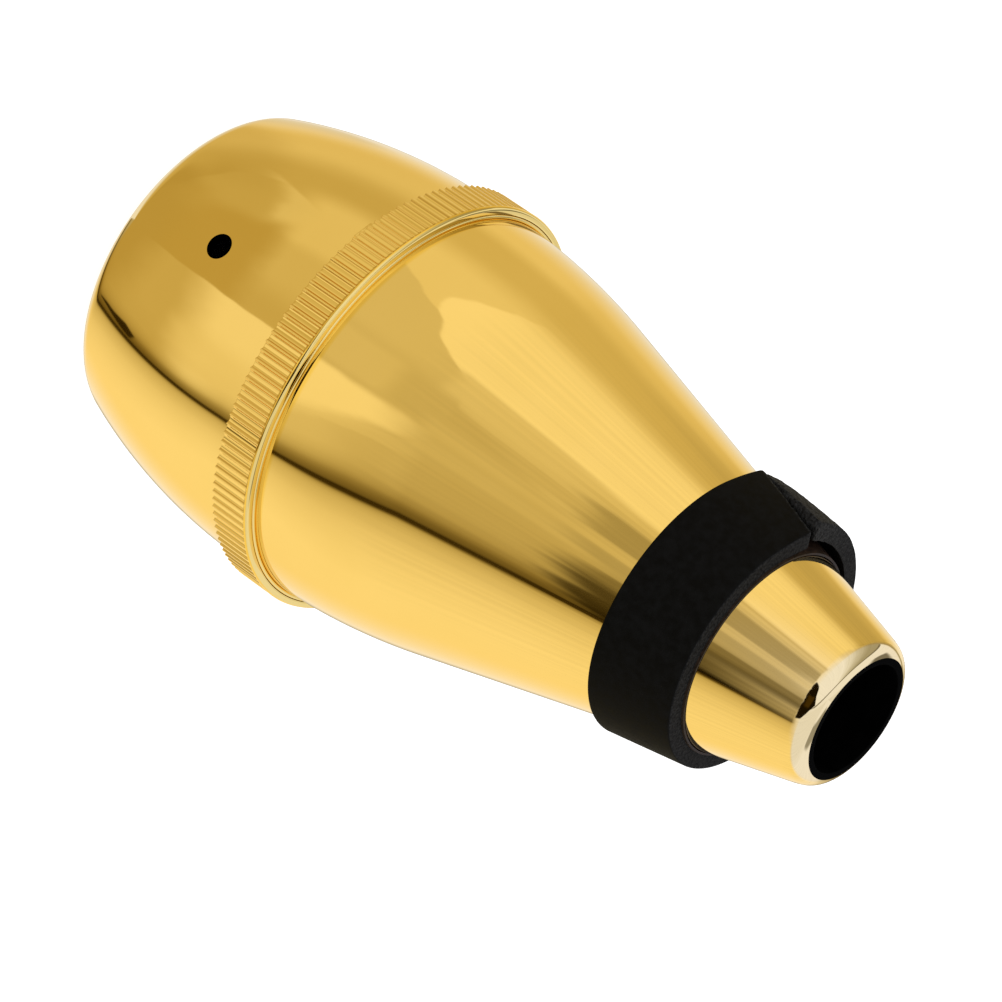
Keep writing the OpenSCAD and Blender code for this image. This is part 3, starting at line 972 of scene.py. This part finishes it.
def foam_finish():
    """Black foam rubber: a smooth dull skin, greyer and open-pored where it is cut or scuffed. The
    greyer tone also paints the sheen on the lifted end and lifts the cut faces out of their shade.
    """
    made = bpy.data.materials.new("foam_skin")
    made.use_nodes = True
    nodes, links = made.node_tree.nodes, made.node_tree.links
    shader = nodes["Principled BSDF"]
    shader.inputs["Specular IOR Level"].default_value = foam_shine
    place = nodes.new("ShaderNodeTexCoord")
    skin = nodes.new("ShaderNodeTexNoise")
    skin.inputs["Scale"].default_value = skin_scale
    skin.inputs["Detail"].default_value = 4
    skin_tone = nodes.new("ShaderNodeValToRGB")
    pores = nodes.new("ShaderNodeTexNoise")
    pores.inputs["Scale"].default_value = pore_scale
    pores.inputs["Detail"].default_value = 3
    pore_tone = nodes.new("ShaderNodeValToRGB")
    for node, (dark, light) in ((skin_tone, skin_tones), (pore_tone, pore_tones)):
        node.color_ramp.elements[0].position = 0.35
        node.color_ramp.elements[0].color = (dark, dark, dark, 1)
        node.color_ramp.elements[1].position = 0.7
        node.color_ramp.elements[1].color = (light, light, light, 1)
    wear_and_sheen = nodes.new("ShaderNodeAttribute")
    wear_and_sheen.attribute_name = "scuff_and_sheen"
    mixed = nodes.new("ShaderNodeMix")
    mixed.data_type = "RGBA"
    haze = nodes.new("ShaderNodeMapRange")
    haze.inputs["To Min"].default_value, haze.inputs["To Max"].default_value = foam_haze
    depth = nodes.new("ShaderNodeMapRange")
    depth.inputs["To Min"].default_value = 0.15
    depth.inputs["To Max"].default_value = 1
    bump = nodes.new("ShaderNodeBump")
    bump.inputs["Distance"].default_value = pore_depth
    links.new(place.outputs["Object"], skin.inputs["Vector"])
    links.new(place.outputs["Object"], pores.inputs["Vector"])
    links.new(skin.outputs["Fac"], skin_tone.inputs["Fac"])
    links.new(skin.outputs["Fac"], haze.inputs["Value"])
    links.new(pores.outputs["Fac"], pore_tone.inputs["Fac"])
    links.new(pores.outputs["Fac"], bump.inputs["Height"])
    links.new(wear_and_sheen.outputs["Fac"], mixed.inputs["Factor"])
    links.new(wear_and_sheen.outputs["Fac"], depth.inputs["Value"])
    links.new(depth.outputs["Result"], bump.inputs["Strength"])
    links.new(skin_tone.outputs["Color"], mixed.inputs["A"])
    links.new(pore_tone.outputs["Color"], mixed.inputs["B"])
    links.new(mixed.outputs["Result"], shader.inputs["Base Color"])
    links.new(haze.outputs["Result"], shader.inputs["Roughness"])
    links.new(bump.outputs["Normal"], shader.inputs["Normal"])
    return made


inner_rear = (cone_radius(band_rear) + tape_thickness, band_rear)
outer_rear = (cone_radius(band_rear) + band_rear_thickness, band_rear)
outer_front = (cone_radius(band_front) + band_front_thickness, band_front)
inner_front = (cone_radius(band_front) + tape_thickness, band_front)
face = rounded([inner_rear, outer_rear, outer_front, inner_front], band_edge)
band_outline = [inner_rear] + face[1:7] + steps_between(face[6], face[7], band_rows) + face[8:13]
band_outline += [inner_front] + steps_between(inner_front, inner_rear, band_rows)
full_turn = 2 * pi * (1 - 1 / band_steps)
band = lathe("foam_band_strip", band_outline, steps=band_steps, around=full_turn)
bpy.ops.object.mode_set(mode="EDIT")
bpy.ops.mesh.select_all(action="SELECT")
bpy.ops.mesh.fill_holes(sides=0)
bpy.ops.mesh.select_all(action="DESELECT")
bpy.ops.object.mode_set(mode="OBJECT")
scuff_and_sheen = band.data.attributes.new("scuff_and_sheen", "FLOAT", "POINT")
middle = (band_rear + band_front) / 2
for vertex in band.data.vertices:
    x, y, z = vertex.co
    radius = hypot(x, y)
    turn = atan2(y, x) % (2 * pi) / full_turn
    bed = cone_radius(z) + tape_thickness
    along = (z - band_rear) / (band_front - band_rear)
    thickness = band_rear_thickness + (band_front_thickness - band_rear_thickness) * along
    thickness -= tape_thickness
    out = max(0, min(1, (radius - bed) / thickness))
    first = seam_gap / 2 + cut_slant * out
    overlap = cut_slant * out * (1 - along)
    arc_length = 2 * pi * radius - first - seam_gap / 2 + overlap
    angle = seam_angle + (first + turn * arc_length + (z - middle) * seam_lean) / radius
    lift = max(0, 1 - (1 - turn) * 2 * pi / lift_reach) * max(0, along) ** lift_power * lift_height
    lift += max(0, 1 - turn * 2 * pi / spring_reach) ** 2 * spring_height
    radius += lift * (lift_inside + (1 - lift_inside) * out)
    # The scuffed end and the cut faces get the greyer pored tone: partly real open pores, partly
    # painted light for the sheen on the lifted end and for the cut faces, which lie in shade.
    scuff_sheen_share = max(0, 1 - (1 - turn) / scuff_sheen_reach) if turn > 0 else 1
    cut = cut_grey_and_lift if not cut_edge < along < 1 - cut_edge else 0
    scuff_and_sheen.data[vertex.index].value = max(scuff_sheen_share, cut)
    radius += scuff_sheen_share * scuff_height * noise.noise(Vector((x, y, z)) / scuff_scale)
    vertex.co = (radius * cos(angle), radius * sin(angle), z)
band.data.materials.append(foam_finish())
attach(band, "shell")
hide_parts("foam_band")

# A disc of open-cell foam on the cup's floor damps the chamber. It is cut from sheet and
# held by a thin adhesive disc, and shows only when the mute is unscrewed and lifted apart.
pad_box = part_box("damping_pad")
adhesive_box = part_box("pad_tape")
pad_edge = 0.8 * mm
adhesive_edge = 0.1 * mm

pad = ring("damping_pad_foam", 0, pad_box[1].x, pad_box[0].z, pad_box[1].z, pad_edge)
pad.data.materials.append(dull_finish("open_cell_foam", dark=(0.015, 0.015, 0.016),
                                      light=(0.06, 0.06, 0.065), scale=1100,
                                      roughness=(0.8, 0.95), grain=0.4 * mm))
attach(pad, "cup")
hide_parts("damping_pad")

adhesive = ring("pad_adhesive_disc", 0, adhesive_box[1].x, adhesive_box[0].z, adhesive_box[1].z,
                adhesive_edge)
adhesive.data.materials.append(dull_finish("adhesive_sheet", dark=(0.5, 0.48, 0.42),
                                           light=(0.7, 0.68, 0.62), scale=400,
                                           roughness=(0.4, 0.6), grain=0.02 * mm))
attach(adhesive, "cup")
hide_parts("pad_tape")
